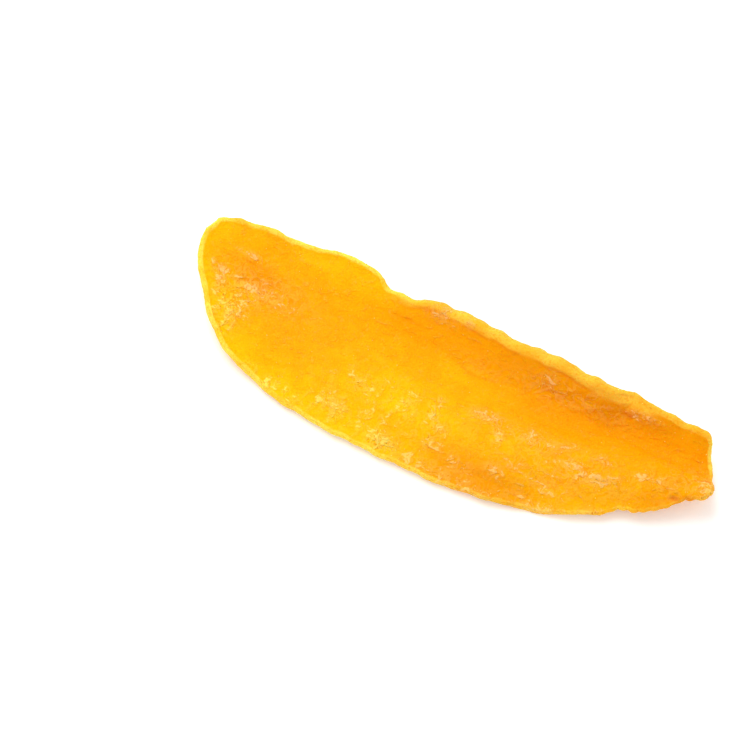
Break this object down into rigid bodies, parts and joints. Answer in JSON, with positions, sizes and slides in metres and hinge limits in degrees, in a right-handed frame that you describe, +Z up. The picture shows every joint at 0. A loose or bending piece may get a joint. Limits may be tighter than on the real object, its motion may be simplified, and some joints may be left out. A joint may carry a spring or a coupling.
{
  "type": "dried mango slice",
  "caption": "Long dried mango slice, flat in the belly, with one straight edge curled up into a wavy rim, a lifted round nose and a fold that runs out into a torn tip.",
  "frame": {"origin": "centre of the bounding box in plan, at the level of the surface that the slice lies on", "axes": "+X along the slice towards the torn tip, +Y towards the straight edge that is curled up, +Z up"},
  "size_m": [0.1288, 0.0384, 0.012],
  "materials": {
    "mango_flesh": "dried fruit flesh, amber yellow, soft matte and slightly translucent, with a pale rim",
    "sugar_bloom": "fine sugar crystals dried onto the flesh"
  },
  "bodies": {
    "root": {"mango_slice": "mango_flesh"}
  },
  "joints": []
}
